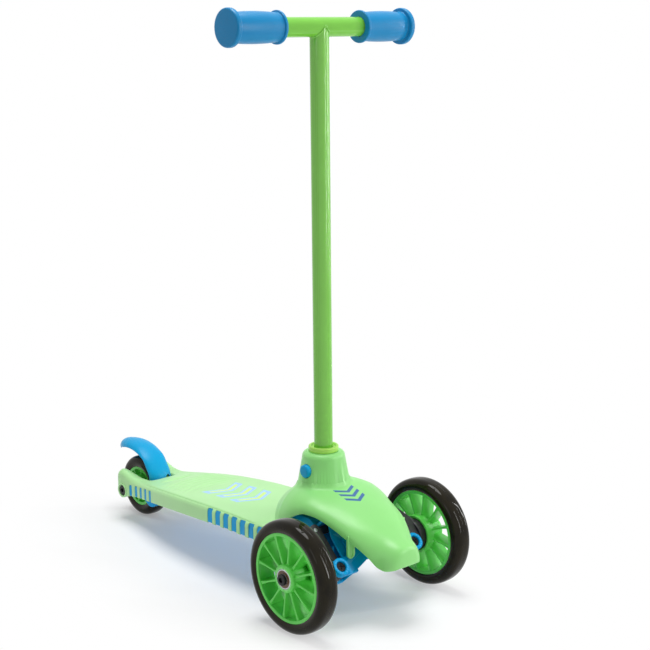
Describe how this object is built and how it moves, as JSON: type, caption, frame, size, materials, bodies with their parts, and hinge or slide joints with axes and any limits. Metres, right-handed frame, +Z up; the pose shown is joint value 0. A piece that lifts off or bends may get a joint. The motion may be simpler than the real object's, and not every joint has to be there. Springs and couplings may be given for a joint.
{
  "type": "three wheel kids scooter",
  "caption": "Lean-to-steer kids scooter: T handlebar in a hooded tower, slotted deck on a moulded chassis, tilted kingpins, bladed wheels, foot brake over the rear wheel.",
  "frame": {"origin": "middle of the footprint, on the floor under the wheels", "axes": "+Z up, the scooter faces -Y, +X is the rider's left"},
  "size_m": [0.2508, 0.547, 0.654],
  "materials": {
    "pale_green": "satin moulded",
    "tube_green": "powder coat",
    "lime": "satin moulded",
    "hub_green": "semi-gloss moulded",
    "grip_blue": "soft matte",
    "fender_blue": "satin moulded",
    "chassis_blue": "semi-gloss moulded",
    "tyre": "glossy cast polyurethane",
    "black_plastic": "satin moulded",
    "bush_rubber": "matte",
    "black_steel": "black oxide",
    "steel": "plain",
    "bearing_steel": "bright"
  },
  "bodies": {
    "frame": {"deck_shell": "pale_green", "front_hood": "pale_green", "stem_collar": "lime", "handlebar_tube": "tube_green", "stem_plug": "black_plastic", "grip_left": "grip_blue", "grip_right": "grip_blue", "lower_chassis": "chassis_blue", "kingpin_bolt_left": "black_steel", "kingpin_bolt_right": "black_steel", "brake_pivot_pin": "steel", "brake_spring": "steel", "rear_spacer": "steel", "rear_fork_spacer_left": "steel", "rear_fork_spacer_right": "steel", "rear_axle_bolt": "black_steel", "rear_axle_nut": "steel", "chassis_screw_front_left": "steel", "chassis_screw_front_right": "steel", "chassis_screw_middle_left": "steel", "chassis_screw_middle_right": "steel", "chassis_screw_rear_left": "steel", "chassis_screw_rear_right": "steel"},
    "left_knuckle": {"knuckle_left": "black_plastic", "kingpin_bush_left": "bush_rubber", "tie_rod_pin_left": "steel", "front_spacer_left": "steel", "front_axle_bolt_left": "black_steel", "front_axle_nut_left": "steel"},
    "right_knuckle": {"knuckle_right": "black_plastic", "kingpin_bush_right": "bush_rubber", "tie_rod_pin_right": "steel", "front_spacer_right": "steel", "front_axle_bolt_right": "black_steel", "front_axle_nut_right": "steel"},
    "tie_rod": {"tie_rod": "black_plastic"},
    "left_front_wheel": {"front_hub_left": "hub_green", "front_tyre_left": "tyre", "front_bearing_outer_left": "bearing_steel", "front_bearing_inner_left": "bearing_steel"},
    "right_front_wheel": {"front_hub_right": "hub_green", "front_tyre_right": "tyre", "front_bearing_outer_right": "bearing_steel", "front_bearing_inner_right": "bearing_steel"},
    "rear_wheel": {"rear_hub": "hub_green", "rear_tyre": "tyre", "rear_bearing_left": "bearing_steel", "rear_bearing_right": "bearing_steel"},
    "brake": {"brake_fender": "fender_blue"},
    "button": {"push_button": "fender_blue", "latch_pin": "steel", "latch_spring": "steel"}
  },
  "joints": [
    {"name": "steer_left", "type": "hinge", "parent": "frame", "child": "left_knuckle", "pos_m": [0.056, -0.2285, 0.0695], "axis": [0, -0.7431, 0.6691], "range_deg": [-15, 15], "stiffness_Nm_per_rad": 4},
    {"name": "steer_right", "type": "hinge", "parent": "frame", "child": "right_knuckle", "pos_m": [-0.056, -0.2285, 0.0695], "axis": [0, -0.7431, 0.6691], "range_deg": [-15, 15], "stiffness_Nm_per_rad": 4},
    {"name": "tie_rod_pivot", "type": "hinge", "parent": "left_knuckle", "child": "tie_rod", "pos_m": [0.056, -0.19504, 0.10666], "axis": [0, -0.7431, 0.6691], "range_deg": [-15, 15]},
    {"name": "left_wheel_spin", "type": "hinge", "parent": "left_knuckle", "child": "left_front_wheel", "pos_m": [0.101, -0.2005, 0.0625], "axis": [1, 0, 0], "continuous": true},
    {"name": "right_wheel_spin", "type": "hinge", "parent": "right_knuckle", "child": "right_front_wheel", "pos_m": [-0.101, -0.2005, 0.0625], "axis": [1, 0, 0], "continuous": true},
    {"name": "rear_wheel_spin", "type": "hinge", "parent": "frame", "child": "rear_wheel", "pos_m": [0, 0.2195, 0.04], "axis": [1, 0, 0], "continuous": true},
    {"name": "brake_press", "type": "hinge", "parent": "frame", "child": "brake", "pos_m": [0, 0.1695, 0.048], "axis": [-1, 0, 0], "range_deg": [0, 7], "stiffness_Nm_per_rad": 1.2, "springref_deg": -8.59},
    {"name": "button_press", "type": "slide", "parent": "frame", "child": "button", "axis": [1, 0, 0], "range_m": [0, 0.003], "stiffness_N_per_m": 700, "springref_m": -0.002}
  ],
  "couplings": [
    {"joint": "steer_right", "follows": "steer_left", "ratio": 1},
    {"joint": "tie_rod_pivot", "follows": "steer_left", "ratio": -1}
  ]
}
